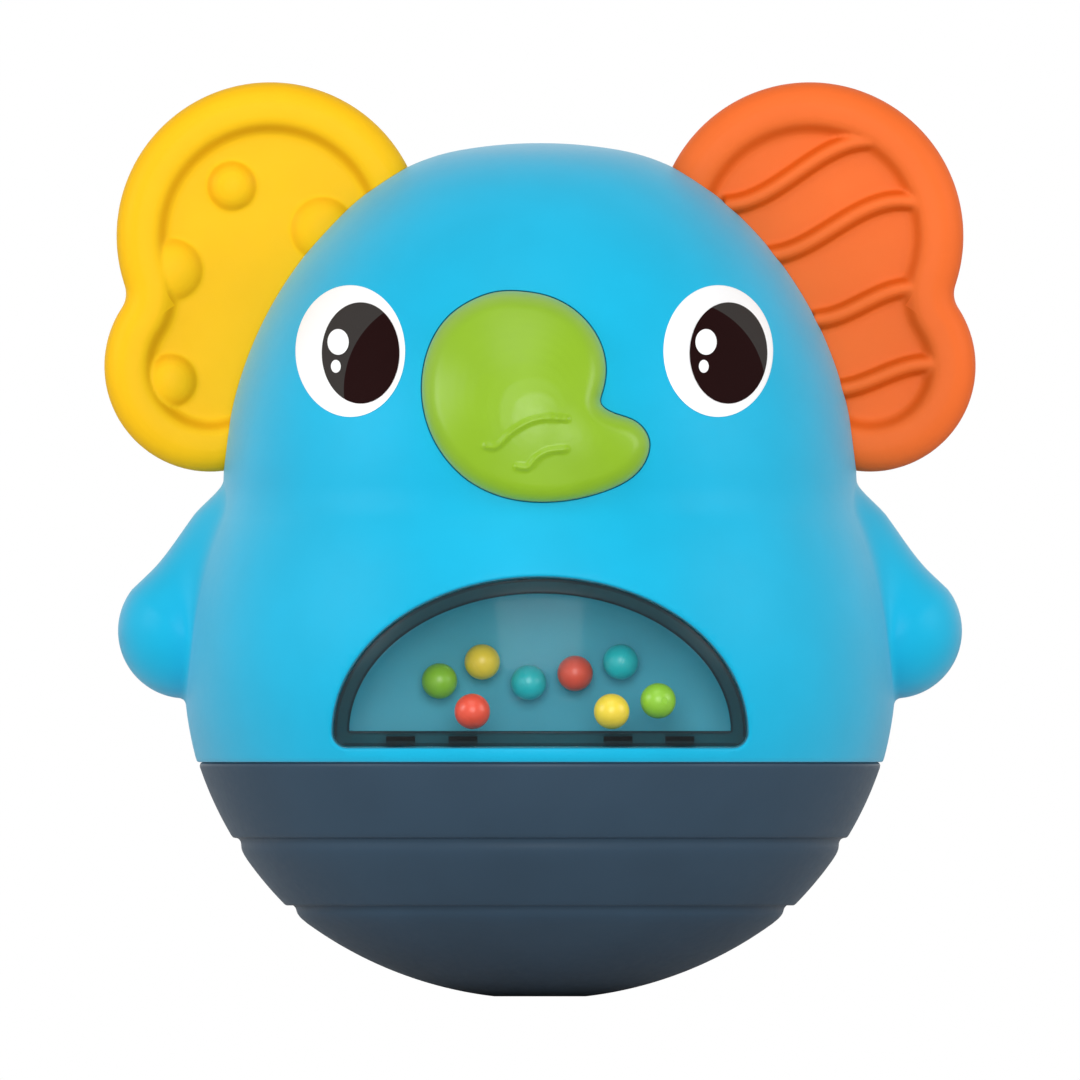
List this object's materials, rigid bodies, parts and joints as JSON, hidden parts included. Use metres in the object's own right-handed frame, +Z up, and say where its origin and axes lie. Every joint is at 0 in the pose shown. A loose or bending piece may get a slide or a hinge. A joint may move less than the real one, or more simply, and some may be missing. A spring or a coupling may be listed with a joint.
{
  "type": "roly poly toy",
  "caption": "Weighted elephant tumbler toy with soft teether ears, a domed nose and a belly window with loose rattling beads.",
  "frame": {"origin": "middle of the small flat foot on which the toy stands", "axes": "+Z up through the crown, -Y out of the belly window, +X to the orange ear"},
  "size_m": [0.1144, 0.0934, 0.12],
  "materials": {
    "blue_shell": "satin moulded, blue through",
    "slate_base": "satin moulded, slate through",
    "yellow_teether": "soft matte moulded",
    "orange_teether": "soft matte moulded",
    "green_nose": "satin moulded",
    "smoked_window": "clear with a light smoke tint",
    "tray": "satin moulded",
    "cast_weight": "rough cast",
    "cover": "plain moulded",
    "screw_steel": "plated",
    "eye_white": "printed",
    "eye_dark": "printed",
    "bead_green": "glossy moulded",
    "bead_yellow": "glossy moulded",
    "bead_red": "glossy moulded",
    "bead_teal": "glossy moulded"
  },
  "bodies": {
    "toy": {"front_shell": "blue_shell", "back_shell": "blue_shell", "base_bowl": "slate_base", "yellow_ear": "yellow_teether", "orange_ear": "orange_teether", "nose": "green_nose", "window": "smoked_window", "bead_tray": "tray", "counterweight": "cast_weight", "weight_cover": "cover", "weight_screws": "screw_steel", "shell_screws": "screw_steel", "tray_screws": "screw_steel", "nose_screws": "screw_steel", "eye_whites": "eye_white", "eye_pupils": "eye_dark", "eye_glints": "eye_white"},
    "bead_green_1": {"bead_green_1": "bead_green"},
    "bead_yellow_1": {"bead_yellow_1": "bead_yellow"},
    "bead_red_1": {"bead_red_1": "bead_red"},
    "bead_teal_1": {"bead_teal_1": "bead_teal"},
    "bead_red_2": {"bead_red_2": "bead_red"},
    "bead_teal_2": {"bead_teal_2": "bead_teal"},
    "bead_yellow_2": {"bead_yellow_2": "bead_yellow"},
    "bead_green_2": {"bead_green_2": "bead_green"}
  },
  "joints": [
    {"name": "bead_green_1_slide", "type": "slide", "parent": "toy", "child": "bead_green_1", "axis": [0, 0, 1], "range_m": [-0.0042, 0.006]},
    {"name": "bead_yellow_1_slide", "type": "slide", "parent": "toy", "child": "bead_yellow_1", "axis": [0, 0, 1], "range_m": [-0.0067, 0.0056]},
    {"name": "bead_red_1_slide", "type": "slide", "parent": "toy", "child": "bead_red_1", "axis": [0, 0, 1], "range_m": [-0.0002, 0.0116]},
    {"name": "bead_teal_1_slide", "type": "slide", "parent": "toy", "child": "bead_teal_1", "axis": [0, 0, 1], "range_m": [-0.004, 0.0092]},
    {"name": "bead_red_2_slide", "type": "slide", "parent": "toy", "child": "bead_red_2", "axis": [0, 0, 1], "range_m": [-0.0052, 0.0076]},
    {"name": "bead_teal_2_slide", "type": "slide", "parent": "toy", "child": "bead_teal_2", "axis": [0, 0, 1], "range_m": [-0.0067, 0.0046]},
    {"name": "bead_yellow_2_slide", "type": "slide", "parent": "toy", "child": "bead_yellow_2", "axis": [0, 0, 1], "range_m": [-0.0002, 0.0115]},
    {"name": "bead_green_2_slide", "type": "slide", "parent": "toy", "child": "bead_green_2", "axis": [0, 0, 1], "range_m": [-0.0013, 0.0073]}
  ]
}
